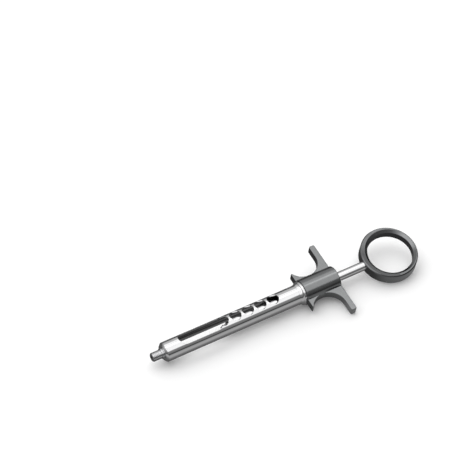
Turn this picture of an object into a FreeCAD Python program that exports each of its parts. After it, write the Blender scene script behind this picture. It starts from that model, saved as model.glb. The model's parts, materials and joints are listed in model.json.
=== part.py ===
import FreeCAD, Part
import math
import os

# Breech-loading aspirating dental syringe, empty, with its plunger part-way forward.
# All sizes are in millimetres. X runs along the barrel from the needle end to the
# thumb ring, and the origin is on the axis at the shoulder of the needle thread.
# The pieces are drawn with the finger wings level, and at the end everything is
# rolled about the axis by lie_roll, the attitude in which the syringe lies on a
# table: on the round of its grip and the tip of one wing. The plunger turns freely
# and lies on the edge of its thumb ring, ring_turn further round. +Z is up.

# ---------------------------------------------------------------- driving dimensions
lie_roll = 12.5             # degrees about the barrel axis
ring_turn = 1.6             # degrees that the plunger is turned past the wings

# what the syringe takes
cartridge_length = 64.0     # glass cartridge
cartridge_od = 8.8
cap_od = 7.8                # crimped metal cap on the cartridge
needle_tube_r = 0.9         # way through for the back of a double-ended needle

# clearances
thread_play = 0.03          # radial, in every screwed or pressed seat
run_play = 0.05             # radial, where something slides or turns
rod_pass = 0.10             # radial, where the rod only passes through
end_play = 0.05             # along the axis, between stacked pieces
cartridge_play = 0.2        # radial, round the cap

# needle adapter
needle_thread_r = 2.745
needle_thread_length = 5.9
thread_tip_chamfer = 0.5
adapter_flange_r = 3.2
adapter_flange_t = 1.3
adapter_shank_r = 2.7
adapter_shank_length = 3.0

# barrel
barrel_od = 12.0
barrel_wall = 1.0
nose_chamfer = 1.3
cap_recess_depth = 2.6
seat_ring_t = 0.55
seat_ring_r = 3.2
seat_ring_hole_r = 1.6
breech_ease = 0.6           # length of the breech over that of the cartridge
breech_play = 0.5           # each side of the cartridge
breech_corner_r = 2.0
barrel_tail = 23.6          # from the back of the breech to the grip
spigot_length = 8.4         # threaded tail of the tube, inside the grip
spigot_wall = 0.75

# windows in the top of the barrel
window_clock = -11.5        # degrees that the openings are turned from the wings' flat
window_r = 4.2              # half the width of the long window, and the radius of its end
window_start = 9.4          # from the front of the tube
window_overlap = 3.3        # how far the long window runs into the first hole
hole_r = 3.65
hole_count = 5
hole_pitch = 8.53
last_hole_back = 3.64       # centre of the last hole, behind the breech's back end

# collar behind the barrel
collar_length = 3.9
collar_height = 1.3
collar_flare = 2.4          # length of the hollow flare in front of the rim
collar_rim_r = 0.5

# finger grip
grip_length = 23.4
grip_wall = 1.09            # of the round body, outside its bore
grip_end_round = 0.5
wing_t = 5.2
wing_half_span = 25.0
wing_tip_width = 3.7
finger_rest_r = 10.0
finger_rest_dip = 0.35      # how far the rest's arc dips inside the round of the grip
wing_tip_round = 1.1
horn_round = 0.5
wing_edge_round = 0.5

# pieces inside the grip
insert_wall = 0.95
insert_setback = 0.5
spring_seat_t = 1.1
guide_wall = 2.8
guide_lip = 1.0
sleeve_wall = 0.95
seal_washer_t = 0.7
seal_section_r = 0.95       # half the thickness of the O-ring
gland_lip = 0.35            # gland nut's radius past the seal's pocket
gland_length = 2.85
gland_setback = 0.1         # the nut's back face, inside the grip's
gland_slot_width = 1.2
gland_slot_depth = 1.0

# spring, its washer and the clip that keeps them in the barrel
spring_length = 14.0
spring_wire_r = 0.45
spring_turns = 5.5
washer_t = 1.2
clip_t = 0.85
clip_depth = 0.45           # groove in the barrel's wall
clip_height = 0.6           # how far the clip stands into the bore
clip_gap_width = 3.0

# plunger
rod_r = 2.8
rod_length = 90.7           # from the head to the thumb ring
rod_show = 20.3             # rod seen between the grip and the ring
rod_front_spigot_r = 1.6
rod_front_spigot_length = 1.9
rod_rear_spigot_r = 1.9
rod_rear_spigot_length = 2.8
head_step = 0.55            # head's radius over the rod's
head_length = 3.5
head_round = 0.4
harpoon_length = 5.2
harpoon_shank_r = 1.0
harpoon_shank_length = 1.6
harpoon_stem_r = 0.6
harpoon_barb_r = 1.25
harpoon_tip_r = 0.08
harpoon_point_length = 2.3
harpoon_barb_pitch = 1.1
harpoon_undercut = 0.35
harpoon_collar_r = 1.7
harpoon_collar_t = 0.9

# thumb ring
ring_outer_r = 17.6
ring_inner_r = 13.95
ring_offset = 1.15          # hole's centre, behind the outside's centre
ring_t = 7.6
ring_outer_bevel = 0.6
ring_flare_w = 1.8          # cone at each end of the hole: its width on the face
ring_flare_d = 1.5          # and its depth
ring_spot_depth = 0.3       # flat where the rod's shoulder seats
screw_r = 1.0
screw_head_r = 1.95
screw_head_t = 1.2
screw_slot_width = 0.5
screw_length = 4.1

# ---------------------------------------------------------------- places along the axis
barrel_r = barrel_od / 2
bore_r = barrel_r - barrel_wall
nose_x0 = adapter_flange_t
tube_x0 = nose_x0 + nose_chamfer
seat_x0 = nose_x0 + adapter_shank_length + end_play
recess_x0 = seat_x0 + seat_ring_t
breech_x0 = recess_x0 + cap_recess_depth
breech_x1 = breech_x0 + cartridge_length + breech_ease
grip_x0 = breech_x1 + barrel_tail
grip_x1 = grip_x0 + grip_length
tube_x1 = grip_x0 + spigot_length
spigot_r = bore_r + spigot_wall

spring_seat_x0 = tube_x1 + end_play
spring_seat_x1 = spring_seat_x0 + spring_seat_t
gland_x1 = grip_x1 - gland_setback
gland_x0 = gland_x1 - gland_length
guide_x0 = spring_seat_x1 + end_play
guide_x1 = gland_x0 - end_play
sleeve_r = rod_r + run_play + sleeve_wall
guide_bore_r = sleeve_r + run_play
guide_r = guide_bore_r + guide_wall
insert_r = spigot_r + thread_play + insert_wall
grip_bore_r = max(guide_r, insert_r) + thread_play
grip_r = grip_bore_r + grip_wall
finger_rest_y = grip_r - finger_rest_dip + finger_rest_r
seal_x = guide_x1 - seal_section_r - 3 * end_play
seal_washer_x1 = seal_x - seal_section_r
seal_washer_x0 = seal_washer_x1 - seal_washer_t
seal_ring_r = rod_r + run_play + seal_section_r
seal_pocket_r = seal_ring_r + seal_section_r + run_play
gland_r = seal_pocket_r + gland_lip
sleeve_x0 = guide_x0 + guide_lip + end_play
sleeve_x1 = seal_washer_x0 - 2 * end_play

spring_mean_r = (bore_r + rod_r) / 2
washer_x1 = spring_seat_x0 - spring_length
washer_x0 = washer_x1 - washer_t
clip_x1 = washer_x0 - end_play
clip_x0 = clip_x1 - clip_t
collar_x0 = grip_x0 - collar_length

ring_front = grip_x1 + rod_show
ring_x = ring_front + ring_outer_r
ring_hole_x = ring_x + ring_offset
rod_x1 = ring_front + ring_spot_depth
rod_x0 = ring_front - rod_length
head_r = rod_r + head_step
head_x0 = rod_x0 - head_length
harpoon_x0 = head_x0 - harpoon_length
rear_spigot_x1 = rod_x1 + rod_rear_spigot_length
screw_seat_x = ring_hole_x - ring_inner_r - screw_head_t

hole_xs = [breech_x1 + last_hole_back - hole_pitch * n for n in range(hole_count)]
window_x0 = tube_x0 + window_start
window_x1 = min(hole_xs) - hole_r + window_overlap

axis_x = FreeCAD.Vector(1, 0, 0)
origin = FreeCAD.Vector(0, 0, 0)


# ---------------------------------------------------------------- helpers
def rod(x0, x1, radius):
    """Solid round bar on the axis from x0 to x1."""
    return Part.makeCylinder(radius, x1 - x0, FreeCAD.Vector(x0, 0, 0), axis_x)


def pipe(x0, x1, outer, inner):
    """Round bar from x0 to x1 with a hole right through it."""
    return rod(x0, x1, outer).cut(rod(x0 - 1, x1 + 1, inner))


def turned(points):
    """Solid of revolution about the axis from a closed outline of (x, radius) points."""
    corners = [FreeCAD.Vector(x, 0, radius) for x, radius in points]
    face = Part.Face(Part.makePolygon(corners + corners[:1]))
    return face.revolve(origin, axis_x, 360)


def block(x0, x1, y0, y1, z0, z1):
    """Box between two corners."""
    return Part.makeBox(x1 - x0, y1 - y0, z1 - z0, FreeCAD.Vector(x0, y0, z0))


def post(x, y, radius, z0, z1):
    """Round bar that stands along Z."""
    return Part.makeCylinder(radius, z1 - z0, FreeCAD.Vector(x, y, z0), FreeCAD.Vector(0, 0, 1))


def upright_edges(shape):
    """Straight edges of a shape that run along Z."""
    found = []
    for edge in shape.Edges:
        start = edge.Vertexes[0].Point
        end = edge.Vertexes[-1].Point
        if abs(end.x - start.x) < 1e-6 and abs(end.y - start.y) < 1e-6 and abs(end.z - start.z) > 1e-6:
            found.append(edge)
    return found


def flat_edges(shape):
    """Edges of a shape that lie level."""
    return [edge for edge in shape.Edges if edge.BoundBox.ZLength < 1e-6]


def rim_edges(shape, x, radius):
    """Round edges about the axis at one station, of one radius."""
    found = []
    for edge in shape.Edges:
        box = edge.BoundBox
        if abs(box.XMin - x) < 1e-4 and abs(box.XMax - x) < 1e-4 and abs(box.ZMax - radius) < 1e-3:
            found.append(edge)
    return found


# ---------------------------------------------------------------- barrel
def make_needle_adapter():
    """Threaded hub for the needle: thread, flange and the shank screwed into the nose."""
    tip = -needle_thread_length
    outline = [
        (tip, needle_tube_r),
        (tip, needle_thread_r - thread_tip_chamfer),
        (tip + thread_tip_chamfer, needle_thread_r),
        (0, needle_thread_r),
        (0, adapter_flange_r),
        (adapter_flange_t, adapter_flange_r),
        (adapter_flange_t, adapter_shank_r),
        (nose_x0 + adapter_shank_length, adapter_shank_r),
        (nose_x0 + adapter_shank_length, needle_tube_r),
    ]
    return turned(outline)


def make_barrel_nose():
    """Front plug: chamfered face, spigot inside the tube, recess for the cartridge's cap."""
    spigot = bore_r - thread_play
    recess_r = cap_od / 2 + cartridge_play
    outline = [
        (nose_x0, adapter_shank_r + thread_play),
        (nose_x0, barrel_r - nose_chamfer),
        (tube_x0, barrel_r),
        (tube_x0, spigot),
        (breech_x0, spigot),
        (breech_x0, recess_r),
        (recess_x0, recess_r),
        (recess_x0, seat_ring_r),
        (seat_x0, seat_ring_r),
        (seat_x0, adapter_shank_r + thread_play),
    ]
    return turned(outline)


def make_cartridge_seat():
    """Thin washer in the nose that the cartridge's cap comes to rest on."""
    return pipe(seat_x0, recess_x0, seat_ring_r - thread_play, seat_ring_hole_r)


def make_barrel_tube():
    """Tube with a threaded tail, windows in its top and the breech cut out of its underside."""
    tube = rod(tube_x0, grip_x0, barrel_r).fuse(rod(grip_x0, tube_x1, spigot_r))
    tube = tube.cut(rod(tube_x0 - 1, tube_x1 + 1, bore_r))
    top = barrel_r + 1
    openings = block(window_x0 + window_r, window_x1 - window_r, -window_r, window_r, 0, top)
    for x in (window_x0 + window_r, window_x1 - window_r):
        openings = openings.fuse(post(x, 0, window_r, 0, top))
    for x in hole_xs:
        openings = openings.fuse(post(x, 0, hole_r, 0, top))
    half_width = cartridge_od / 2 + breech_play
    breech = block(breech_x0 + end_play, breech_x1, -half_width, half_width, -top, 0)
    openings = openings.fuse(breech.makeFillet(breech_corner_r, upright_edges(breech)))
    openings.rotate(origin, axis_x, window_clock)
    groove = rod(clip_x0 - end_play, clip_x1, bore_r + clip_depth)
    return tube.cut(openings).cut(groove).removeSplitter()


def make_barrel_collar():
    """Rim pressed on the back of the tube, with a hollow flare in front of it."""
    rim_r = barrel_r + collar_height
    flare_x = collar_x0 + collar_flare
    inner = barrel_r + thread_play
    lip = inner + 0.1
    corners = [
        (collar_x0, inner),
        (grip_x0, inner),
        (grip_x0, rim_r),
        (flare_x, rim_r),
        (collar_x0, lip),
    ]
    points = [FreeCAD.Vector(x, 0, radius) for x, radius in corners]
    sag = 0.22 * collar_height
    middle = FreeCAD.Vector((collar_x0 + flare_x) / 2 + sag, 0, (lip + rim_r) / 2 - sag)
    edges = [Part.LineSegment(points[n], points[n + 1]).toShape() for n in range(3)]
    edges.append(Part.Arc(points[3], middle, points[4]).toShape())
    edges.append(Part.LineSegment(points[4], points[0]).toShape())
    ring = Part.Face(Part.Wire(edges)).revolve(origin, axis_x, 360)
    return ring.makeFillet(collar_rim_r, rim_edges(ring, grip_x0, rim_r) + rim_edges(ring, flare_x, rim_r))


# ---------------------------------------------------------------- grip
def wing_outline():
    """Outline of the two wings: straight front and back, and on each side a finger rest's
    arc that starts on the front, dips towards the axis and runs out along the wing."""
    rest_x = grip_x1 - wing_tip_width - finger_rest_r
    horn_y = finger_rest_y - math.sqrt(finger_rest_r ** 2 - (rest_x - grip_x0) ** 2)
    lowest = FreeCAD.Vector(rest_x, finger_rest_y - finger_rest_r, 0)
    corners = [
        FreeCAD.Vector(grip_x0, horn_y, 0),
        FreeCAD.Vector(rest_x + finger_rest_r, finger_rest_y, 0),
        FreeCAD.Vector(rest_x + finger_rest_r, wing_half_span, 0),
        FreeCAD.Vector(grip_x1, wing_half_span, 0),
        FreeCAD.Vector(grip_x1, 0, 0),
        FreeCAD.Vector(grip_x0, 0, 0),
    ]
    half = [Part.Arc(corners[0], lowest, corners[1]).toShape()]
    half += [Part.LineSegment(corners[n], corners[n + 1]).toShape() for n in range(1, 4)]
    half.append(Part.LineSegment(corners[5], corners[0]).toShape())
    other = [edge.mirror(origin, FreeCAD.Vector(0, 1, 0)) for edge in half]
    return Part.Wire(Part.__sortEdges__(half + other))


def make_finger_grip():
    """Round body with two wings, each hollowed by the arc of a finger rest."""
    half_t = wing_t / 2
    plate = Part.Face(wing_outline()).extrude(FreeCAD.Vector(0, 0, wing_t))
    plate.translate(FreeCAD.Vector(0, 0, -half_t))
    tips = [e for e in upright_edges(plate) if abs(e.Vertexes[0].Point.y) > wing_half_span - 0.01]
    plate = plate.makeFillet(wing_tip_round, tips)
    horns = [e for e in upright_edges(plate) if abs(e.Vertexes[0].Point.x - grip_x0) < 0.01]
    plate = plate.makeFillet(horn_round, horns)
    plate = plate.makeFillet(wing_edge_round, flat_edges(plate))
    body = rod(grip_x0, grip_x1, grip_r)
    body = body.makeFillet(grip_end_round, rim_edges(body, grip_x0, grip_r) + rim_edges(body, grip_x1, grip_r))
    grip = body.fuse(plate)
    grip = grip.cut(rod(grip_x0 - 1, guide_x1, grip_bore_r))
    return grip.cut(rod(guide_x1 - 1, grip_x1 + 1, gland_r + thread_play)).removeSplitter()


def make_grip_insert():
    """Threaded sleeve in the grip that the barrel's tail screws into."""
    return pipe(grip_x0 + insert_setback, tube_x1, grip_bore_r - thread_play, spigot_r + thread_play)


def make_spring_seat():
    """Washer behind the barrel's tail that carries the back of the spring."""
    return pipe(spring_seat_x0, spring_seat_x1, grip_bore_r - thread_play, rod_r + rod_pass)


def make_guide_bearing():
    """Housing in the grip: a lip, the bore that the sleeve turns in, and the seal's pocket."""
    outer = grip_bore_r - thread_play
    outline = [
        (guide_x0, rod_r + rod_pass),
        (guide_x0, outer),
        (guide_x1, outer),
        (guide_x1, seal_pocket_r),
        (sleeve_x1 + end_play, seal_pocket_r),
        (sleeve_x1 + end_play, guide_bore_r),
        (guide_x0 + guide_lip, guide_bore_r),
        (guide_x0 + guide_lip, rod_r + rod_pass),
    ]
    return turned(outline)


def make_bearing_sleeve():
    """Plain sleeve that the rod slides in; it turns in its housing with the rod."""
    return pipe(sleeve_x0, sleeve_x1, sleeve_r, rod_r + run_play)


def make_seal_washer():
    """Washer between the sleeve and the O-ring."""
    return pipe(seal_washer_x0, seal_washer_x1, seal_pocket_r - run_play, rod_r + rod_pass)


def make_rod_seal():
    """O-ring round the rod."""
    return Part.makeTorus(seal_ring_r, seal_section_r, FreeCAD.Vector(seal_x, 0, 0), axis_x)


def make_gland_nut():
    """Screwed plug at the back of the grip, with two spanner slots."""
    nut = pipe(gland_x0, gland_x1, gland_r, rod_r + rod_pass)
    half = gland_slot_width / 2
    slot = block(gland_x1 - gland_slot_depth, gland_x1 + 1, -gland_r - 1, gland_r + 1, -half, half)
    return nut.cut(slot)


# ---------------------------------------------------------------- spring pack
def make_spring_clip():
    """Open wire ring in a groove of the bore; the washer rests against it."""
    clip = pipe(clip_x0, clip_x1, bore_r + clip_depth - thread_play, bore_r - clip_height)
    half = clip_gap_width / 2
    return clip.cut(block(clip_x0 - 1, clip_x1 + 1, -half, half, 0, barrel_r))


def make_spring_washer():
    """Washer in front of the spring; the head pushes it back when the plunger is drawn."""
    return pipe(washer_x0, washer_x1, bore_r - rod_pass, rod_r + rod_pass)


def make_return_spring():
    """Round-wire coil between the washer and the spring seat."""
    length = spring_length - 2 * end_play - 2 * spring_wire_r
    pitch = length / spring_turns
    path = Part.makeHelix(pitch, length, spring_mean_r)
    section = Part.Wire(Part.makeCircle(spring_wire_r, FreeCAD.Vector(spring_mean_r, 0, 0),
                                        FreeCAD.Vector(0, 1, 0)))
    coil = Part.Wire(path).makePipeShell([section], True, True)
    coil.rotate(origin, FreeCAD.Vector(0, 1, 0), 90)
    coil.translate(FreeCAD.Vector(washer_x1 + end_play + spring_wire_r, 0, 0))
    return coil


# ---------------------------------------------------------------- plunger
def make_piston_rod():
    """Polished rod with a spigot at each end; the back one is tapped for the ring's screw."""
    bar = rod(rod_x0, rod_x1, rod_r)
    bar = bar.fuse(rod(rod_x0 - rod_front_spigot_length, rod_x0, rod_front_spigot_r))
    bar = bar.fuse(rod(rod_x1, rear_spigot_x1, rod_rear_spigot_r))
    tap_x0 = screw_seat_x - screw_length + screw_head_t - end_play
    return bar.cut(rod(tap_x0, rear_spigot_x1 + 1, screw_r + thread_play)).removeSplitter()


def make_piston_head():
    """Head that pushes the cartridge's stopper, screwed on the rod, bored for the harpoon."""
    head = rod(head_x0, rod_x0, head_r)
    head = head.makeFillet(head_round, rim_edges(head, head_x0, head_r) + rim_edges(head, rod_x0, head_r))
    socket = rod(rod_x0 - rod_front_spigot_length - end_play, rod_x0 + 1, rod_front_spigot_r + thread_play)
    return head.cut(socket).cut(rod(head_x0 - 1, rod_x0, harpoon_shank_r + thread_play))


def make_harpoon():
    """Barbed point that hooks the stopper: a cone and two undercut barbs on a stem."""
    outline = [(harpoon_x0, 0), (harpoon_x0, harpoon_tip_r)]
    back = harpoon_x0 + harpoon_point_length
    for barb in range(2):
        outline.append((back, harpoon_barb_r))
        outline.append((back - harpoon_undercut, harpoon_stem_r + 0.05 * barb))
        if barb == 0:
            outline.append((back + 0.1, harpoon_stem_r + 0.05))
        back = back + harpoon_barb_pitch
    outline = outline[:-1]
    last = back - harpoon_barb_pitch
    outline += [
        (last, harpoon_stem_r),
        (head_x0 - harpoon_collar_t, harpoon_stem_r),
        (head_x0 - harpoon_collar_t, harpoon_collar_r),
        (head_x0, harpoon_collar_r),
        (head_x0, harpoon_shank_r),
        (head_x0 + harpoon_shank_length, harpoon_shank_r),
        (head_x0 + harpoon_shank_length, 0),
    ]
    return turned(outline)


def make_thumb_ring():
    """Thick-and-thin ring: its hole is set back, so the wall is thick where the rod joins."""
    half_t = ring_t / 2
    ring = post(ring_x, 0, ring_outer_r, -half_t, half_t)
    ring = ring.makeChamfer(ring_outer_bevel, flat_edges(ring))
    hole = post(ring_hole_x, 0, ring_inner_r, -half_t - 1, half_t + 1)
    for side in (-1, 1):
        hole = hole.fuse(Part.makeCone(ring_inner_r + ring_flare_w, ring_inner_r, ring_flare_d,
                                       FreeCAD.Vector(ring_hole_x, 0, side * half_t),
                                       FreeCAD.Vector(0, 0, -side)))
    ring = ring.cut(hole)
    ring = ring.cut(rod(ring_front - 1, rod_x1, rod_r + rod_pass))
    ring = ring.cut(rod(ring_front, rear_spigot_x1 + end_play, rod_rear_spigot_r + thread_play))
    ring = ring.cut(rod(ring_front, ring_x, screw_r + thread_play))
    return ring.cut(rod(screw_seat_x - end_play, ring_x, screw_head_r + thread_play))


def make_ring_screw():
    """Screw from inside the ring into the rod's tapped end."""
    head_x1 = screw_seat_x + screw_head_t
    screw = rod(screw_seat_x, head_x1, screw_head_r)
    screw = screw.fuse(rod(head_x1 - screw_length, screw_seat_x, screw_r))
    half = screw_slot_width / 2
    slot = block(head_x1 - screw_head_t / 2, head_x1 + 1, -screw_head_r - 1, screw_head_r + 1, -half, half)
    return screw.cut(slot).removeSplitter()


# ---------------------------------------------------------------- build
makers = {
    "needle_adapter": make_needle_adapter,
    "barrel_nose": make_barrel_nose,
    "cartridge_seat": make_cartridge_seat,
    "barrel_tube": make_barrel_tube,
    "barrel_collar": make_barrel_collar,
    "finger_grip": make_finger_grip,
    "grip_insert": make_grip_insert,
    "spring_seat": make_spring_seat,
    "guide_bearing": make_guide_bearing,
    "bearing_sleeve": make_bearing_sleeve,
    "seal_washer": make_seal_washer,
    "rod_seal": make_rod_seal,
    "gland_nut": make_gland_nut,
    "spring_clip": make_spring_clip,
    "spring_washer": make_spring_washer,
    "return_spring": make_return_spring,
    "piston_rod": make_piston_rod,
    "piston_head": make_piston_head,
    "harpoon": make_harpoon,
    "thumb_ring": make_thumb_ring,
    "ring_screw": make_ring_screw,
}

plunger_pieces = ["piston_rod", "piston_head", "harpoon", "thumb_ring", "ring_screw"]

os.makedirs("parts", exist_ok=True)
for name, maker in makers.items():
    shape = maker()
    shape.rotate(origin, axis_x, lie_roll + (ring_turn if name in plunger_pieces else 0))
    shape.exportStep("parts/" + name + ".step")
    print(name, "solids", len(shape.Solids), "valid", shape.isValid(), "volume", round(shape.Volume, 1))

print("plunger forward", round(rod_show, 2), "back", round(washer_x0 - rod_x0, 2))
print("overall", round(ring_x + ring_outer_r + needle_thread_length, 2))
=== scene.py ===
"""Looks of a breech-loading dental syringe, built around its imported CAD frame.

Everything is in metres and in the CAD's own frame: X runs along the barrel from the
needle end to the thumb ring, +Z is up, and the origin is at the needle thread's shoulder.
Lengths named below are written in millimetres times MM.
"""
import json
import math

import bmesh
import bpy
import numpy as np
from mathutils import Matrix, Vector


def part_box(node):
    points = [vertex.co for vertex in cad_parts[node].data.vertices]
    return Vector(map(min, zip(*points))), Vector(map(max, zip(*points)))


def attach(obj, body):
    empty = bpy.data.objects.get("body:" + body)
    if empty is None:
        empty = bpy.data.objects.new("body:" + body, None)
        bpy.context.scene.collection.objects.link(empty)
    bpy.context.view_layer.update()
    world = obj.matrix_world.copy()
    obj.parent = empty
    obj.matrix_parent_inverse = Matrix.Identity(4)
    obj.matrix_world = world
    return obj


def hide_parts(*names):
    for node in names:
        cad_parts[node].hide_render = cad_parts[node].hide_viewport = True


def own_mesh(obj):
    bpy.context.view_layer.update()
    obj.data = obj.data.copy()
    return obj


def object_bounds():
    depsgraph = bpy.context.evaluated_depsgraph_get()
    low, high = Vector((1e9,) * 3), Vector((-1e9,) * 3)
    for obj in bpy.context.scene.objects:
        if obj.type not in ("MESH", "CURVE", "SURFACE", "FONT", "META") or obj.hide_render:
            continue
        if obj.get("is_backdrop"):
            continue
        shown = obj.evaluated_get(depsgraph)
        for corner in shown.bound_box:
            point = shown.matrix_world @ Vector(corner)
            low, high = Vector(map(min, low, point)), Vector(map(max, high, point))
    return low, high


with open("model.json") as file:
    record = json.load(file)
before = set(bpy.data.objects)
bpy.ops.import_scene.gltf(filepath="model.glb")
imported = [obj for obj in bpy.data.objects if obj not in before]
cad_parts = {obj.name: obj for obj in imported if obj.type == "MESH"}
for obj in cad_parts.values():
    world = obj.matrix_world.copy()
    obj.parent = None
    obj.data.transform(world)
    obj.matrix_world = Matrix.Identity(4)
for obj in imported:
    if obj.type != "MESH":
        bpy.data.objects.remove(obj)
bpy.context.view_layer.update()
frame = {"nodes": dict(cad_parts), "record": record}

MM = 0.001
PLUNGER_ROLL = math.radians(14.1)   # the thumb ring, about +X from level
WINDOW_ROLL = math.radians(1.0)     # the barrel's windows, from upright
LIGHT_TILT = 32                     # of the soft light, in degrees from overhead to the far side
LIGHT_STRENGTH = 1.75
SIDES = 112                         # flats round a turned piece
CHROME_DARK = (0.86, 0.86, 0.865)   # the cloudiness in the plating runs between these
CHROME_LIGHT = (0.94, 0.94, 0.945)

# the barrel's openings, along X and across it, in millimetres
TUBE_X0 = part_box("barrel_tube")[0].x / MM
SEAM = 0.06                         # bevel where the tube meets the nose
WINDOW_R = 4.2
WINDOW_X0 = TUBE_X0 + 9.4
HOLE_R = 3.65
HOLE_XS = [41.62 + 8.53 * n for n in range(5)]
WINDOW_X1 = HOLE_XS[0] - HOLE_R + 3.3
BREECH_X0 = 7.55
BREECH_X1 = 72.1
BREECH_HALF = 4.9
BREECH_ROUND = 2.0


# ---------------------------------------------------------------- materials
def shader_of(name):
    """New node material; gives the material and its Principled shader."""
    material = bpy.data.materials.new(name)
    material.use_nodes = True
    return material, material.node_tree.nodes["Principled BSDF"]


def new_node(tree, kind, **settings):
    """New shader node with its settings."""
    node = tree.nodes.new(kind)
    for key, value in settings.items():
        setattr(node, key, value)
    return node


def texture(tree, kind, scale, stretch=(1, 1, 1), **inputs):
    """Procedural texture on Object coordinates in metres, stretched along the axes."""
    place = tree.nodes.new("ShaderNodeTexCoord")
    mapping = tree.nodes.new("ShaderNodeMapping")
    mapping.inputs["Scale"].default_value = stretch
    tree.links.new(place.outputs["Object"], mapping.inputs["Vector"])
    node = tree.nodes.new(kind)
    node.inputs["Scale"].default_value = scale
    for key, value in inputs.items():
        node.inputs[key].default_value = value
    tree.links.new(mapping.outputs["Vector"], node.inputs["Vector"])
    return node


def spread(tree, source, low, high):
    """Turns a texture's 0 to 1 into a range of numbers."""
    node = tree.nodes.new("ShaderNodeMapRange")
    node.inputs["To Min"].default_value = low
    node.inputs["To Max"].default_value = high
    tree.links.new(source, node.inputs["Value"])
    return node.outputs["Result"]


def between(tree, source, low, high):
    """0 where the source is low, 1 where it is high, and even between them."""
    result = spread(tree, source, 0, 1)
    result.node.inputs["From Min"].default_value = low
    result.node.inputs["From Max"].default_value = high
    return result


def tint(tree, source, dark, light):
    """Turns a texture's 0 to 1 into a colour between two."""
    node = tree.nodes.new("ShaderNodeMix")
    node.data_type = "RGBA"
    node.inputs["A"].default_value = (*dark, 1)
    node.inputs["B"].default_value = (*light, 1)
    tree.links.new(source, node.inputs["Factor"])
    return node.outputs["Result"]


def relief(tree, shader, source, depth):
    """Bump of a real depth in metres."""
    node = tree.nodes.new("ShaderNodeBump")
    node.inputs["Distance"].default_value = depth
    node.inputs["Strength"].default_value = 1.0
    tree.links.new(source, node.inputs["Height"])
    tree.links.new(node.outputs["Normal"], shader.inputs["Normal"])


def chrome(name, dark, light, rough, grain):
    """Polished plating: faint cloudiness in the colour, fine lines left by the polishing
    wheel round the axis in the roughness, and a shallow waviness."""
    material, shader = shader_of(name)
    tree = material.node_tree
    shader.inputs["Metallic"].default_value = 1.0
    cloud = texture(tree, "ShaderNodeTexNoise", 180, Detail=4)
    tree.links.new(tint(tree, cloud.outputs["Fac"], dark, light), shader.inputs["Base Color"])
    lines = texture(tree, "ShaderNodeTexNoise", 500, stretch=(6, 1, 1), Detail=6, Roughness=0.7)
    scratched = spread(tree, lines.outputs["Fac"], rough * 0.6, rough * 1.5)
    tree.links.new(scratched, shader.inputs["Roughness"])
    relief(tree, shader, lines.outputs["Fac"], grain)
    return material


def bored_chrome(name, radius):
    """Plating on the outside, and inside a dull drawn bore whose colour carries painted reflections: light
    and dark lines along the tube, the dark ones rougher. The two are mixed by the distance from the X
    axis, which is the tube's own."""
    material = chrome(name, CHROME_DARK, CHROME_LIGHT, 0.07, 0.001 * MM)
    tree = material.node_tree
    shader = tree.nodes["Principled BSDF"]
    place = tree.nodes.new("ShaderNodeTexCoord")
    across = new_node(tree, "ShaderNodeVectorMath", operation="MULTIPLY")
    across.inputs[1].default_value = (0, 1, 1)
    tree.links.new(place.outputs["Object"], across.inputs[0])
    length = new_node(tree, "ShaderNodeVectorMath", operation="LENGTH")
    tree.links.new(across.outputs["Vector"], length.inputs[0])
    outside = between(tree, length.outputs["Value"], radius, radius + 0.2 * MM)
    # painted reflections: light and dark lines along the tube in the bore's colour stand in for what its
    # concave wall reflects
    lines = texture(tree, "ShaderNodeTexNoise", 1100, stretch=(0.01, 1, 1), Detail=3)
    reflection_streaks = between(tree, lines.outputs["Fac"], 0.40, 0.60)
    painted_reflection_colour = tint(tree, reflection_streaks, (0.15, 0.15, 0.152), (0.95, 0.95, 0.955))
    sides = (("Base Color", "RGBA", painted_reflection_colour),
             ("Roughness", "FLOAT", spread(tree, reflection_streaks, 0.45, 0.20)))
    for socket, kind, bore in sides:
        mix = new_node(tree, "ShaderNodeMix", data_type=kind)
        tree.links.new(outside, mix.inputs["Factor"])
        plated = shader.inputs[socket].links[0].from_socket
        ends = [s for s in mix.inputs if s.name in ("A", "B") and s.enabled]
        tree.links.new(bore, ends[0])
        tree.links.new(plated, ends[1])
        result = next(s for s in mix.outputs if s.enabled)
        tree.links.new(result, shader.inputs[socket])
    return material


def satin(name, dark, light, rough, grain):
    """Blasted and coated metal: a fine even tooth, small darker specks and a soft gloss."""
    material, shader = shader_of(name)
    tree = material.node_tree
    shader.inputs["Metallic"].default_value = 1.0
    cloud = texture(tree, "ShaderNodeTexNoise", 260, Detail=5)
    tree.links.new(tint(tree, cloud.outputs["Fac"], dark, light), shader.inputs["Base Color"])
    tooth = texture(tree, "ShaderNodeTexNoise", 6000, Detail=3)
    blasted = spread(tree, tooth.outputs["Fac"], rough * 0.85, rough * 1.2)
    tree.links.new(blasted, shader.inputs["Roughness"])
    relief(tree, shader, tooth.outputs["Fac"], grain)
    return material


def plain(name, dark, light, rough, metallic=0.0):
    """Moulded or machined surface that hardly shows: mottled colour and a fine relief."""
    material, shader = shader_of(name)
    tree = material.node_tree
    shader.inputs["Metallic"].default_value = metallic
    cloud = texture(tree, "ShaderNodeTexNoise", 400, Detail=6)
    tree.links.new(tint(tree, cloud.outputs["Fac"], dark, light), shader.inputs["Base Color"])
    mottled = spread(tree, cloud.outputs["Fac"], rough * 0.8, rough * 1.2)
    tree.links.new(mottled, shader.inputs["Roughness"])
    relief(tree, shader, cloud.outputs["Fac"], 0.01 * MM)
    return material


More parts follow.
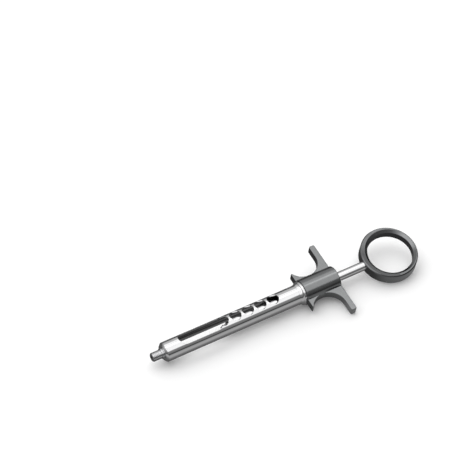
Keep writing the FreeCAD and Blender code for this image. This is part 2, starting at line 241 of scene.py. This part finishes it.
finishes = {
    "chromed_brass": chrome("hub_chrome", (0.60, 0.60, 0.61), (0.70, 0.70, 0.71), 0.07, 0.001 * MM),
    "barrel_chrome": chrome("barrel_chrome_finish", CHROME_DARK, CHROME_LIGHT, 0.07, 0.001 * MM),
    "rod_chrome": chrome("rod_chrome_finish", CHROME_DARK, CHROME_LIGHT, 0.06, 0.001 * MM),
    "harpoon_steel": chrome("harpoon_steel_finish", (0.30, 0.30, 0.305), (0.40, 0.40, 0.405), 0.22,
                            0.002 * MM),
    "plain_steel": plain("turned_steel", (0.42, 0.42, 0.43), (0.52, 0.52, 0.53), 0.30, metallic=1.0),
    "spring_steel": plain("spring_wire", (0.34, 0.34, 0.35), (0.44, 0.44, 0.45), 0.28, metallic=1.0),
    "insert_brass": plain("brass", (0.62, 0.48, 0.24), (0.72, 0.58, 0.32), 0.30, metallic=1.0),
    "gland_metal": satin("gland_finish", (0.16, 0.164, 0.168), (0.20, 0.204, 0.208), 0.30, 0.003 * MM),
    "grip_metal": satin("grip_finish", (0.25, 0.255, 0.258), (0.29, 0.295, 0.298), 0.17, 0.0015 * MM),
    "ring_metal": satin("ring_finish", (0.21, 0.214, 0.218), (0.25, 0.254, 0.258), 0.17, 0.0015 * MM),
    "seat_plastic": plain("seat_finish", (0.80, 0.80, 0.77), (0.86, 0.86, 0.83), 0.45),
    "sleeve_plastic": plain("sleeve_finish", (0.80, 0.80, 0.78), (0.86, 0.86, 0.84), 0.40),
    "seal_rubber": plain("seal_finish", (0.012, 0.012, 0.013), (0.022, 0.022, 0.024), 0.60),
}

for entry in frame["record"]["subparts"]:
    for slot in frame["nodes"][entry["node"]].material_slots:
        slot.material = finishes[entry["material_slot"]]


# ---------------------------------------------------------------- meshes
def piece(name, body, node, points, faces, roll=0.0):
    """New piece from points in millimetres about the X axis: turned by roll, scaled to
    metres, welded where its ends meet, faced outwards, and put in a CAD node's place."""
    points = np.asarray(points, float).reshape(-1, 3)
    y, z = points[:, 1].copy(), points[:, 2].copy()
    points[:, 1] = y * math.cos(roll) - z * math.sin(roll)
    points[:, 2] = y * math.sin(roll) + z * math.cos(roll)
    faces = np.asarray(faces, np.int32)
    mesh = bpy.data.meshes.new(name)
    mesh.vertices.add(len(points))
    mesh.vertices.foreach_set("co", (points * MM).ravel())
    mesh.loops.add(faces.size)
    mesh.loops.foreach_set("vertex_index", faces.ravel())
    mesh.polygons.add(len(faces))
    mesh.polygons.foreach_set("loop_start", np.arange(len(faces), dtype=np.int32) * 4)
    mesh.update(calc_edges=True)
    work = bmesh.new()
    work.from_mesh(mesh)
    bmesh.ops.remove_doubles(work, verts=work.verts, dist=0.0005 * MM)
    bmesh.ops.dissolve_degenerate(work, edges=work.edges, dist=0.0002 * MM)
    bmesh.ops.recalc_face_normals(work, faces=work.faces)
    work.to_mesh(mesh)
    work.free()
    mesh.polygons.foreach_set("use_smooth", np.ones(len(mesh.polygons), bool))
    made = bpy.data.objects.new(name, mesh)
    bpy.context.scene.collection.objects.link(made)
    entry = next(e for e in frame["record"]["subparts"] if e["node"] == node)
    mesh.materials.append(finishes[entry["material_slot"]])
    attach(made, body)
    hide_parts(node)
    return made


def drill(made, radius, start, end, sides=64):
    """Cuts a round recess about the X axis from start to end, in millimetres."""
    angle = np.linspace(0, 2 * math.pi, sides, endpoint=False)
    y, z = radius * np.cos(angle), radius * np.sin(angle)
    points = np.concatenate([np.stack([np.full(sides, x), y, z], axis=-1) for x in (start, end)]) * MM
    faces = [list(range(sides)), list(range(2 * sides - 1, sides - 1, -1))]
    faces += quads(2, sides)[:, ::-1].tolist()
    mesh = bpy.data.meshes.new("cutter")
    mesh.from_pydata(points.tolist(), [], faces)
    cutter = bpy.data.objects.new("cutter", mesh)
    bpy.context.scene.collection.objects.link(cutter)
    cut = made.modifiers.new("cut", "BOOLEAN")
    cut.operation = "DIFFERENCE"
    cut.object = cutter
    scene_state = bpy.context.evaluated_depsgraph_get()
    made.data = bpy.data.meshes.new_from_object(made.evaluated_get(scene_state))
    made.modifiers.remove(cut)
    bpy.data.objects.remove(cutter)
    made.data.set_sharp_from_angle(angle=math.radians(60))


def soften(made):
    """Flat faces keep flat shading right up to the small rounds on their edges."""
    modifier = made.modifiers.new("normals", "WEIGHTED_NORMAL")
    modifier.keep_sharp = True
    modifier.weight = 80
    return made


def round_normals(made, outer, inner):
    """Exact normals on a tube's two skins: straight out from X at its outer radius, and
    straight in at its inner one; the rest keep their own."""
    mesh = made.data
    points = np.empty(len(mesh.vertices) * 3)
    mesh.vertices.foreach_get("co", points)
    points = points.reshape(-1, 3)
    radius = np.hypot(points[:, 1], points[:, 2])
    sign = (abs(radius - outer) < 0.001 * MM).astype(float) - (abs(radius - inner) < 0.001 * MM)
    normals = np.stack([0 * radius, points[:, 1] * sign, points[:, 2] * sign], axis=-1) / radius[:, None]
    mesh.normals_split_custom_set_from_vertices(normals.tolist())
    return made


def quads(rows, columns, close_rows=False):
    """Faces of a grid of points whose rows are closed rings."""
    index = np.arange(rows * columns).reshape(rows, columns)
    if close_rows:
        index = np.vstack([index, index[:1]])
    index = np.hstack([index, index[:, :1]])
    corners = [index[:-1, :-1], index[:-1, 1:], index[1:, 1:], index[1:, :-1]]
    return np.stack(corners, axis=-1).reshape(-1, 4)


def rounded(corners, steps=5, closed=True):
    """Outline with its corners rounded. Each corner is (a, b, round); the arc that touches
    both sides is sampled at equal angles. Gives the points and each point's corner number."""
    corners = [np.array(c, float) for c in corners]
    points, owners = [], []
    for n, corner in enumerate(corners):
        here, radius = corner[:2], corner[2]
        if radius == 0 or (not closed and n in (0, len(corners) - 1)):
            points.append(here)
            owners.append(n)
            continue
        before = corners[n - 1][:2] - here
        after = corners[(n + 1) % len(corners)][:2] - here
        before, after = before / np.linalg.norm(before), after / np.linalg.norm(after)
        half = math.acos(np.clip(before @ after, -1, 1)) / 2
        middle = (before + after) / np.linalg.norm(before + after)
        centre = here + middle * radius / math.sin(half)
        first = here + before * radius / math.tan(half) - centre
        last = here + after * radius / math.tan(half) - centre
        sweep = math.pi - 2 * half
        for share in np.linspace(0, 1, steps):
            points.append(centre + (math.sin((1 - share) * sweep) * first + math.sin(share * sweep) * last)
                          / math.sin(sweep))
            owners.append(n)
    return np.array(points), np.array(owners)


def turned(name, body, node, corners, sides=SIDES):
    """Surface of revolution about X of a closed outline of (x, radius, round) corners."""
    outline, _ = rounded(corners)
    angle = np.linspace(0, 2 * math.pi, sides, endpoint=False)
    x = np.repeat(outline[:, :1], sides, axis=1)
    y = outline[:, 1:] * np.cos(angle)
    z = outline[:, 1:] * np.sin(angle)
    points = np.stack([x, y, z], axis=-1)
    return soften(piece(name, body, node, points, quads(len(outline), sides, close_rows=True)))


# ---------------------------------------------------------------- barrel
def windows_edge(grow, clip, grip, end):
    """Half-outline of the openings in the barrel's top, seen from above, as the x and the
    half-width y of each station, with every opening grown by grow. Solid stretches have
    y = 0; the long window is two rounds and a straight; each hole is x = centre - r cos t,
    y = r sin t; the window's back round stops where it meets the first hole's."""
    wide, hole = WINDOW_R + grow, HOLE_R + grow
    front, back = WINDOW_X0 + WINDOW_R, WINDOW_X1 - WINDOW_R
    meet = (HOLE_XS[0] + back) / 2 + (wide ** 2 - hole ** 2) / (2 * (HOLE_XS[0] - back))
    half_turn = np.linspace(0, math.pi, 29)
    quarter = np.linspace(0, math.pi / 2, 13)
    last = np.linspace(0, math.asin((meet - back) / wide), 9)
    first = np.linspace(math.acos((HOLE_XS[0] - meet) / hole), math.pi, 21)[1:]
    solid = np.concatenate([[TUBE_X0], np.linspace(TUBE_X0 + SEAM, WINDOW_X0 - grow, 48)[:-1]])
    straight = np.linspace(front, back, 26)[1:-1]
    xs = [solid, front - wide * np.cos(quarter), straight, back + wide * np.sin(last),
          HOLE_XS[0] - hole * np.cos(first)]
    ys = [0 * solid, wide * np.sin(quarter), 0 * straight + wide, wide * np.cos(last),
          hole * np.sin(first)]
    for centre in HOLE_XS[1:]:
        bridge = np.linspace(xs[-1][-1], centre - hole, 6)[1:-1]
        xs += [bridge, centre - hole * np.cos(half_turn)]
        ys += [0 * bridge, hole * np.sin(half_turn)]
    tail = np.concatenate([np.linspace(xs[-1][-1], clip[0], 7)[1:], [clip[0], clip[1], clip[1]],
                           np.linspace(clip[1], grip, 6)[1:], [grip, end]])
    y = np.concatenate(ys + [0 * tail])
    return np.concatenate(xs + [tail]), np.where(y < 1e-9, 0, y)


def breech_edge(share, grow, end):
    """Half-outline of the breech, seen from above, along a parameter that goes one unit for
    each stretch: solid, front end, round, side, round, back end, solid."""
    left, right, flat = BREECH_X0 - grow, BREECH_X1 + grow, BREECH_HALF - BREECH_ROUND
    curve = BREECH_ROUND + grow
    stretch = np.minimum(share.astype(int), 6)
    here = share - stretch
    angle = here * math.pi / 2
    x = np.choose(stretch, [
        TUBE_X0 + here * (left - TUBE_X0),
        left + 0 * here,
        left + curve * (1 - np.cos(angle)),
        BREECH_X0 + BREECH_ROUND + here * (BREECH_X1 - BREECH_X0 - 2 * BREECH_ROUND),
        right - curve * (1 - np.sin(angle)),
        right + 0 * here,
        right + here * (end - right),
    ])
    y = np.choose(stretch, [
        0 * here, here * flat, flat + curve * np.sin(angle), BREECH_HALF + grow + 0 * here,
        flat + curve * np.cos(angle), (1 - here) * flat, 0 * here,
    ])
    return x, np.where(y < 1e-9, 0, y)


def make_barrel_tube():
    """Tube cut by the windows above and the breech below. Each side of it is a strip: at
    every station along the barrel a closed loop runs down the outside from the window's
    edge to the breech's edge at angles asin(y / radius), in over the breech's wall, up the
    inside and out over the window's wall. Walls have rounded lips, because each level of
    the wall has its own outline, grown by lip (1 - sin t) at radius lip (1 - cos t) below
    the surface. Where both edges have y = 0 the wall is left out and the two sides meet."""
    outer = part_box("barrel_tube")[1].y / MM
    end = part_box("barrel_tube")[1].x / MM
    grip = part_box("finger_grip")[0].x / MM
    clip = [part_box("spring_clip")[0].x / MM - 0.05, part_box("spring_clip")[1].x / MM]
    wall_t, spigot_step, groove_step = 1.0, 0.25, 0.55
    inner, spigot, groove = outer - wall_t, outer - spigot_step, outer - groove_step
    lip, inner_lip, samples = 0.14, 0.05, 34

    nominal, _ = windows_edge(0.0, clip, grip, end)
    outer_r = np.where(nominal > grip + 1e-6, spigot, outer)
    outer_r[0] = outer - SEAM
    outer_r[-2] = spigot
    inner_r = np.full_like(nominal, inner)
    in_groove = np.flatnonzero((nominal > clip[0] - 1e-6) & (nominal < clip[1] + 1e-6))
    inner_r[in_groove[1:-1]] = groove

    # where the breech's outline goes from one stretch to the next, a little to either side of
    # the real place, so that the walls across the barrel get stations of their own
    knots = [TUBE_X0, BREECH_X0 - 0.5, BREECH_X0 + 0.5, BREECH_X0 + BREECH_ROUND + 0.8,
             BREECH_X1 - BREECH_ROUND - 1.6, BREECH_X1 - 0.6, BREECH_X1 + 1.4, end]
    knots = [nominal[np.argmin(abs(nominal - k))] for k in knots]
    share = np.interp(nominal, knots, np.arange(8.0))

    turn = np.linspace(0, math.pi / 2, 5)
    levels = [(lip * (1 - math.cos(t)), lip * (1 - math.sin(t)), True) for t in turn]
    levels += [(inner_lip * (1 - math.cos(t)), inner_lip * (1 - math.sin(t)), False) for t in turn[::-1]]
    tops, bottoms, radii = [], [], []
    for depth, grow, from_outside in levels:
        tops.append(windows_edge(grow, clip, grip, end))
        bottoms.append(breech_edge(share, grow, end))
        radii.append(outer_r - depth if from_outside else inner_r + depth)

    def skin(level):
        along = np.linspace(0, 1, samples)[None, :]
        radius = radii[level][:, None]
        upper = np.arcsin(tops[level][1] / radii[level])[:, None]
        lower = math.pi - np.arcsin(bottoms[level][1] / radii[level])[:, None]
        angle = upper + (lower - upper) * along
        x = tops[level][0][:, None] * (1 - along) + bottoms[level][0][:, None] * along
        return np.stack([x, radius * np.sin(angle), radius * np.cos(angle)], axis=-1)

    def wall(edges, sign):
        rows = [np.stack([x, y, sign * np.sqrt(np.maximum(radius ** 2 - y ** 2, 0))], axis=-1)
                for (x, y), radius in zip(edges[1:-1], radii[1:-1])]
        return np.stack(rows, axis=1)

    below, above = wall(bottoms, -1), wall(tops, 1)[:, ::-1]
    loop = np.concatenate([skin(0), below, skin(-1)[:, ::-1], above], axis=1)
    stations, around = loop.shape[:2]
    faces = quads(stations, around).reshape(stations - 1, around, 4)
    keep = np.ones((stations - 1, around), bool)
    lids = len(levels) - 1
    shut_below = (bottoms[-1][1][:-1] == 0) & (bottoms[-1][1][1:] == 0)
    shut_above = (tops[-1][1][:-1] == 0) & (tops[-1][1][1:] == 0)
    keep[shut_below, samples - 1:samples - 1 + lids] = False
    keep[shut_above, around - lids:] = False
    faces = faces[keep]
    out_side = np.arange(samples)
    in_side = samples + len(levels) - 2 + np.arange(samples)[::-1]
    cap = np.stack([out_side[:-1], out_side[1:], in_side[1:], in_side[:-1]], axis=-1)
    faces = np.concatenate([faces, cap, cap + (stations - 1) * around])
    mirrored = loop * np.array([1, -1, 1])
    points = np.concatenate([loop.reshape(-1, 3), mirrored.reshape(-1, 3)])
    faces = np.concatenate([faces, faces[:, ::-1] + stations * around])
    tube = piece("barrel_tube_windowed", "barrel", "barrel_tube", points, faces, WINDOW_ROLL)
    tube.data.materials[0] = bored_chrome("tube_chrome", (inner + 0.1) * MM)
    return round_normals(tube, outer * MM, inner * MM)


def make_needle_hub():
    """Hub with a real screw thread: the outline is turned about X, and on the thread the
    radius falls below the crest by depth times a rounded wave of x / pitch + angle / turn,
    which fades out at the tip's round and at the flange."""
    low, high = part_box("needle_adapter")
    tip, back = low.x / MM, high.x / MM
    crest, flange, shank, hole = 2.745, 3.2, 2.7, 0.9
    pitch, depth, flange_t = 25.4 / 28, 0.10, 1.3
    lead_in, thread_end, fade_length = 0.6, -0.35, 0.5
    thread = np.linspace(tip + lead_in, thread_end, 84)
    start = [(tip + 0.1, hole, 0), (tip, hole + 0.12, 0), (tip, crest - 0.55, 0.12),
             (tip + 0.35, crest - 0.12, 0.3)]
    front, _ = rounded(start, 5, closed=False)
    rest = [(-0.1, crest - 0.1, 0.1), (0.0, crest - 0.08, 0.02), (0.0, flange, 0.18),
            (flange_t, flange, 0.12), (flange_t, shank, 0), (back, shank, 0.1), (back, hole, 0)]
    behind, _ = rounded(rest, 5, closed=False)
    outline = np.vstack([front, np.stack([thread, np.full_like(thread, crest)], axis=-1), behind])
    angle = np.linspace(0, 2 * math.pi, SIDES, endpoint=False)
    x = np.repeat(outline[:, :1], SIDES, axis=1)
    wave = 0.5 - 0.5 * np.cos(2 * math.pi * (x / pitch + angle / (2 * math.pi)))
    fade = np.clip((x - tip - lead_in) / fade_length, 0, 1)
    fade = fade * np.clip((thread_end - x) / fade_length, 0, 1)
    radius = outline[:, 1:] - depth * fade * wave ** 0.7
    points = np.stack([x, radius * np.cos(angle), radius * np.sin(angle)], axis=-1)
    return soften(piece("needle_hub_threaded", "barrel", "needle_adapter", points,
                        quads(len(outline), SIDES, close_rows=True)))


def make_barrel_nose():
    """Turned front plug: chamfer, spigot in the tube, and the recess for the cartridge's
    cap. The outline is turned about X."""
    low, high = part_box("barrel_nose")
    front, back, outer = low.x / MM, high.x / MM, high.z / MM
    bore, seat, recess, spigot = 2.73, 3.2, 4.1, outer - 1.03
    seat_x, recess_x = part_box("cartridge_seat")[0].x / MM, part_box("cartridge_seat")[1].x / MM
    chamfer = TUBE_X0 - front
    corners = [
        (front, bore, 0.15), (front, outer - chamfer, 0.25), (TUBE_X0 - 0.04, outer - 0.04, 0.35),
        (TUBE_X0, outer - SEAM, 0), (TUBE_X0, spigot, 0), (back, spigot, 0.1), (back, recess, 0.25),
        (recess_x, recess, 0.05), (recess_x, seat, 0.05), (seat_x, seat, 0), (seat_x, bore, 0),
    ]
    return turned("barrel_nose_turned", "barrel", "barrel_nose", corners)


# ---------------------------------------------------------------- plunger
def make_piston_rod():
    """Polished rod with small rounds at its shoulders, spigots, and the tapped back end. The
    outline is turned about X."""
    low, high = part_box("piston_rod")
    radius = high.y / MM
    shoulder, ring_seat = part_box("piston_head")[1].x / MM, high.x / MM - 2.8
    front, back, tap_x = low.x / MM, high.x / MM, high.x / MM - 2.2
    tap, front_spigot, back_spigot = 1.03, 1.6, 1.9
    corners = [
        (front, 0, 0), (front, front_spigot, 0.15), (shoulder, front_spigot, 0), (shoulder, radius, 0.12),
        (ring_seat, radius, 0.05), (ring_seat, back_spigot, 0), (back, back_spigot, 0.1), (back, tap, 0),
        (tap_x, tap, 0), (tap_x, 0, 0),
    ]
    return turned("piston_rod_polished", "plunger", "piston_rod", corners)


def make_piston_head():
    """Head with rounded rims, a shallow groove round its middle and the rod's socket. The
    outline is turned about X."""
    low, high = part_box("piston_head")
    front, back, radius = low.x / MM, high.x / MM, high.y / MM
    socket, socket_x, bore = 1.63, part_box("piston_rod")[0].x / MM - 0.05, 1.03
    middle, floor, groove = (front + back) / 2, 0.15, radius - 0.25
    corners = [
        (front, bore, 0), (front, radius, 0.45), (middle - 0.35, radius, 0.1),
        (middle - floor, groove, 0.08), (middle + floor, groove, 0.08), (middle + 0.35, radius, 0.1),
        (back, radius, 0.4), (back, socket, 0), (socket_x, socket, 0), (socket_x, bore, 0),
    ]
    return turned("piston_head_turned", "plunger", "piston_head", corners)


def make_harpoon():
    """Barbed point on a stem: a long cone with a nearly sharp tip, two undercut barbs, and a
    collar against the head. The outline is turned about X."""
    low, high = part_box("harpoon")
    tip, back, seat = low.x / MM, high.x / MM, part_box("piston_head")[0].x / MM
    barb, stem, collar, shank, point, pitch, cut = 1.25, 0.6, 1.7, 1.0, 2.3, 1.1, 0.35
    first, collar_t, neck = tip + point, 0.9, stem + 0.05
    corners = [
        (tip, 0, 0), (tip + 0.02, 0.09, 0.04), (first, barb, 0.05), (first - cut, neck, 0.08),
        (first + 0.1, neck, 0.1), (first + pitch, barb, 0.05), (first + pitch - cut, stem, 0.08),
        (seat - collar_t, stem, 0.1), (seat - collar_t, collar, 0.12), (seat, collar, 0.1),
        (seat, shank, 0), (back, shank, 0.1), (back, 0, 0),
    ]
    return turned("harpoon_point", "plunger", "harpoon", corners, sides=64)


def make_thumb_ring():
    """Thick-and-thin ring. Round the centre of the hole, at each angle, one closed loop goes
    from the hole's wall over a cone, the face and a bevel to the outside. The outer corners
    lie at the distance of the eccentric outer circle, c cos t + sqrt(R^2 - c^2 sin^2 t),
    where c is its centre's offset. The face slopes down towards the hole by its width times
    tan dish, and the cone with it. A round recess clears the screw's head."""
    low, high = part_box("thumb_ring")
    outer, inner, half = (high.x - low.x) / 2 / MM, 13.95, 3.8
    flare_w, flare_d, bevel, dish = 1.8, 1.5, 0.6, math.radians(14)
    hole_x, offset = (high.x + low.x) / 2 / MM + 1.15, -1.15
    corners = [(inner, half - flare_d, 0.35), (inner + flare_w, half, 0.25), (outer - bevel, half, 0.12),
               (outer, half - bevel, 0.12)]
    corners += [(s, -z, r) for s, z, r in corners[::-1]]
    loop, owners = rounded(corners, 6)
    outside = np.isin(owners, [2, 3, 4, 5])
    angle = np.linspace(0, 2 * math.pi, 288, endpoint=False)[:, None]
    reach = offset * np.cos(angle) + np.sqrt(outer ** 2 - (offset * np.sin(angle)) ** 2) - outer
    distance = loop[None, :, 0] + outside[None, :] * reach
    z = np.repeat(loop[None, :, 1], len(angle), axis=0)
    face = outer + reach - bevel - inner - flare_w
    sloping = np.isin(owners, [0, 1, 6, 7])
    z = z - np.sign(z) * sloping[None, :] * face * math.tan(dish)
    points = np.stack([hole_x + distance * np.cos(angle), distance * np.sin(angle), z], axis=-1)
    ring = piece("thumb_ring_bevelled", "plunger", "thumb_ring", points,
                 quads(len(angle), len(loop), close_rows=True), PLUNGER_ROLL)
    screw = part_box("ring_screw")[1]
    play, head_t, past = 0.03, 1.23, 2.0
    drill(ring, screw.z / MM + play, screw.x / MM - head_t, screw.x / MM + past)
    return soften(ring)


def make_return_spring():
    """Coil of the return spring, built once at one length. Its wire is a circle
    swept along x = start + pitch t, y = R cos 2 pi t, z = R sin 2 pi t; the circle lies
    across the tangent, and the last rows shrink to a point to close the ends."""
    low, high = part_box("return_spring")
    wire, turns, travel = 0.45, 5.5, 5.0 * MM
    stations, around = 265, 14
    mean = (high.y - low.y) / 2 / MM - wire
    start, length = low.x / MM + wire, (high.x - low.x) / MM - 2 * wire
    share = np.linspace(0, 1, stations)[:, None]
    angle = 2 * math.pi * turns * share
    radial = np.concatenate([0 * angle, np.cos(angle), np.sin(angle)], axis=1)
    forward = np.concatenate([length + 0 * angle, -mean * 2 * math.pi * turns * np.sin(angle),
                              mean * 2 * math.pi * turns * np.cos(angle)], axis=1)
    forward /= np.linalg.norm(forward, axis=1)[:, None]
    across = np.cross(forward, radial)
    centre = mean * radial
    centre[:, :1] = start + length * share
    turn = np.linspace(0, 2 * math.pi, around, endpoint=False)[None, :, None]
    size = np.full((stations, 1, 1), wire)
    size[[0, -1]] = 0
    centre[0], centre[-1] = centre[1], centre[-2]
    circle = np.cos(turn) * radial[:, None] + np.sin(turn) * across[:, None]
    points = centre[:, None] + size * circle
    spring = piece("return_spring_coil", "barrel", "return_spring", points, quads(stations, around))
    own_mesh(spring)


# ---------------------------------------------------------------- studio
def ramp(tree, source, stops):
    """Colour ramp of greys: stops are (place, grey)."""
    node = tree.nodes.new("ShaderNodeValToRGB")
    elements = node.color_ramp.elements
    while len(elements) < len(stops):
        elements.new(0.5)
    for element, (place, grey) in zip(elements, stops):
        element.position = place
        element.color = (grey, grey, grey, 1)
    tree.links.new(source, node.inputs["Fac"])
    return node.outputs["Color"]


def make_world():
    """Plain pale studio. Diffuse surfaces are lit by a big soft light overhead and towards
    the far side: a ramp over the cosine between a direction and the light's own. What the
    camera, metal and glass see past the floor and the cards is white."""
    world = bpy.data.worlds.new("studio")
    bpy.context.scene.world = world
    world.use_nodes = True
    tree = world.node_tree
    direction = tree.nodes.new("ShaderNodeTexCoord")
    facing = new_node(tree, "ShaderNodeVectorMath", operation="DOT_PRODUCT")
    tilt = math.radians(LIGHT_TILT)
    facing.inputs[1].default_value = (0, math.sin(tilt), math.cos(tilt))
    tree.links.new(direction.outputs["Generated"], facing.inputs[0])
    cosine = between(tree, facing.outputs["Value"], -1, 1)
    light = ramp(tree, cosine, [(0.0, 0.10), (0.5, 0.14), (0.72, 0.30), (0.86, 0.85), (0.92, 1.0)])
    studio = tree.nodes["Background"]
    studio.inputs["Strength"].default_value = LIGHT_STRENGTH
    tree.links.new(light, studio.inputs["Color"])
    white = tree.nodes.new("ShaderNodeBackground")
    white.inputs["Color"].default_value = (1, 1, 1, 1)
    choose = tree.nodes.new("ShaderNodeMixShader")
    tree.links.new(seen_plainly(tree), choose.inputs["Fac"])
    tree.links.new(studio.outputs["Background"], choose.inputs[1])
    tree.links.new(white.outputs["Background"], choose.inputs[2])
    tree.links.new(choose.outputs["Shader"], tree.nodes["World Output"].inputs["Surface"])


def seen_plainly(tree):
    """1 on camera, glossy and transmission rays, else 0."""
    ray = tree.nodes.new("ShaderNodeLightPath")
    total = ray.outputs["Is Camera Ray"]
    for name in ("Is Glossy Ray", "Is Transmission Ray"):
        add = new_node(tree, "ShaderNodeMath", operation="MAXIMUM")
        tree.links.new(total, add.inputs[0])
        tree.links.new(ray.outputs[name], add.inputs[1])
        total = add.outputs[0]
    return total


def stage_disc(name, radius, height, material, rings=24, count=96):
    """Flat round sheet centred under the object."""
    reach = np.linspace(0, 1, rings + 1)[1:] * radius
    angle = np.linspace(0, 2 * math.pi, count, endpoint=False)
    reach, angle = np.meshgrid(reach, angle, indexing="ij")
    low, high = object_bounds()
    centre = [(low[0] + high[0]) / 2, (low[1] + high[1]) / 2]
    points = np.stack([centre[0] + reach * np.cos(angle), centre[1] + reach * np.sin(angle),
                       np.full_like(reach, height)], axis=-1).reshape(-1, 3)
    points = np.vstack([points, [[centre[0], centre[1], height]]])
    faces = [(len(points) - 1, n, (n + 1) % count) for n in range(count)]
    faces += quads(rings, count)[:, ::-1].tolist()
    return stage_mesh(name, points, faces, material)


def stage_mesh(name, points, faces, material):
    """Stage object from points in metres."""
    mesh = bpy.data.meshes.new(name)
    mesh.from_pydata(points.tolist(), [], faces)
    mesh.polygons.foreach_set("use_smooth", np.ones(len(mesh.polygons), bool))
    mesh.materials.append(material)
    made = bpy.data.objects.new(name, mesh)
    bpy.context.scene.collection.objects.link(made)
    made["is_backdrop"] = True
    return made


def make_floor():
    """Round white table under the lowest point of the object. Seen straight by the camera
    or in metal it is lifted to white, and keeps the shadow."""
    material, shader = shader_of("floor_finish")
    tree = material.node_tree
    shader.inputs["Base Color"].default_value = (0.90, 0.90, 0.90, 1)
    shader.inputs["Roughness"].default_value = 0.9
    shader.inputs["Specular IOR Level"].default_value = 0.0
    shader.inputs["Emission Color"].default_value = (1, 1, 1, 1)
    tree.links.new(spread(tree, seen_plainly(tree), 0.0, 0.10), shader.inputs["Emission Strength"])
    stage_disc("floor", 0.9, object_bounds()[0][2], material)


def card_material(name, coordinate, low, high, stops, others=()):
    """Glowing greys: a ramp over an Object coordinate that runs from low to high. Each of
    others is another ramp, and the coordinate along which it takes over between two places."""
    material = bpy.data.materials.new(name)
    material.use_nodes = True
    material.cycles.emission_sampling = "NONE"
    tree = material.node_tree
    tree.nodes.remove(tree.nodes["Principled BSDF"])
    place = tree.nodes.new("ShaderNodeTexCoord")
    split = tree.nodes.new("ShaderNodeSeparateXYZ")
    tree.links.new(place.outputs["Object"], split.inputs["Vector"])
    along = between(tree, split.outputs[coordinate], low, high)
    grey = ramp(tree, along, stops)
    for other, across, start, full in others:
        mix = new_node(tree, "ShaderNodeMix", data_type="RGBA")
        tree.links.new(between(tree, split.outputs[across], start, full), mix.inputs["Factor"])
        tree.links.new(grey, mix.inputs["A"])
        tree.links.new(ramp(tree, along, other), mix.inputs["B"])
        grey = mix.outputs["Result"]
    glow = tree.nodes.new("ShaderNodeEmission")
    tree.links.new(grey, glow.inputs["Color"])
    tree.links.new(glow.outputs["Emission"], tree.nodes["Material Output"].inputs["Surface"])
    return material


def make_cards():
    """Grey cards that only metal sees, as they stand round shiny things in a studio: a wall that leans in
    over the object and stays open overhead, a sheet on the table that is dark beyond arm's reach and
    carries a painted shadow under the barrel, and a bright strip overhead. The wall is a sphere's skin, x
    and y = sqrt(1 - h^2) cos and sin a at height h, darker on the near side than on the far one, and with
    a band brighter than white past the needle end."""
    radius, floor_z = 1.5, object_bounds()[0][2]
    near = [(0.0, 0.05), (0.11, 0.07), (0.16, 0.14), (0.575, 0.26), (0.60, 1.0), (1.0, 1.0)]
    far = [(0.0, 0.07), (0.15, 0.08), (0.20, 0.40), (0.69, 0.56), (0.72, 1.0), (1.0, 1.0)]
    needle_end = [(0.0, 0.05), (0.16, 0.14), (0.45, 0.40), (0.57, 1.0), (0.60, 1.7), (0.72, 1.7),
                  (0.75, 1.0)]
    others = [(far, "Y", -0.1, 0.1), (needle_end, "X", -0.7, -1.0)]
    wall = card_material("card_wall", "Z", 0, radius, near, others)
    rows, columns, top = 40, 144, 0.75
    height = np.linspace(floor_z / radius, top, rows)
    angle = np.linspace(0, 2 * math.pi, columns, endpoint=False)
    height, angle = np.meshgrid(height, angle, indexing="ij")
    across = np.sqrt(1 - height ** 2)
    points = np.stack([across * np.cos(angle), across * np.sin(angle), height], axis=-1) * radius
    faces = quads(rows, columns).tolist()
    cards = [stage_mesh("card_wall", points.reshape(-1, 3), faces, wall)]
    # greys of the table card across Y; the drop to 0.08-0.12 from about y = -8 mm on is a painted shadow
    # under and behind the barrel
    stops = [(0.0, 0.05), (0.30, 0.07), (0.43, 0.34), (0.478, 0.38), (0.49, 0.11), (0.53, 0.08),
             (0.60, 0.12)]
    table = card_material("card_table", "Y", -0.4, 0.4, stops)
    above_floor = 0.05 * MM
    cards.append(stage_disc("card_table", radius, floor_z + above_floor, table))
    left, right, near_y, far_y, up, strength = -0.4, 1.4, -0.10, 0.31, 1.2, 1.8
    strip = card_material("card_overhead", "Y", near_y, far_y, [(0.0, 0.55), (0.5, 1.0), (1.0, 0.55)])
    strip.node_tree.nodes["Emission"].inputs["Strength"].default_value = strength
    corners = np.array([[left, near_y, up], [right, near_y, up], [right, far_y, up], [left, far_y, up]])
    cards.append(stage_mesh("card_overhead", corners, [(3, 2, 1, 0)], strip))
    for card in cards:
        card.visible_camera = False
        card.visible_diffuse = False
        card.visible_shadow = False


def make_camera():
    """Long lens above the near side of the barrel, aimed at a point on the table's level."""
    azimuth = math.radians(-30.75)
    elevation = math.radians(44.6)
    distance = 1.4946
    aim = Vector((86.5 * MM, 67.0 * MM, 0))
    level = math.cos(elevation)
    toward = Vector((math.sin(azimuth) * level, -math.cos(azimuth) * level, math.sin(elevation)))
    camera = bpy.data.cameras.new("camera")
    camera.lens = 193
    camera.sensor_width = 36
    camera.clip_end = 20
    holder = bpy.data.objects.new("camera", camera)
    holder.location = aim + toward * distance
    holder.rotation_euler = (-toward).to_track_quat("-Z", "Y").to_euler()
    bpy.context.scene.collection.objects.link(holder)
    bpy.context.scene.camera = holder


make_barrel_tube()
make_needle_hub()
make_barrel_nose()
make_piston_rod()
make_piston_head()
make_harpoon()
make_thumb_ring()
make_return_spring()
make_world()
make_floor()
make_cards()
make_camera()
bpy.context.scene.view_settings.view_transform = "Standard"
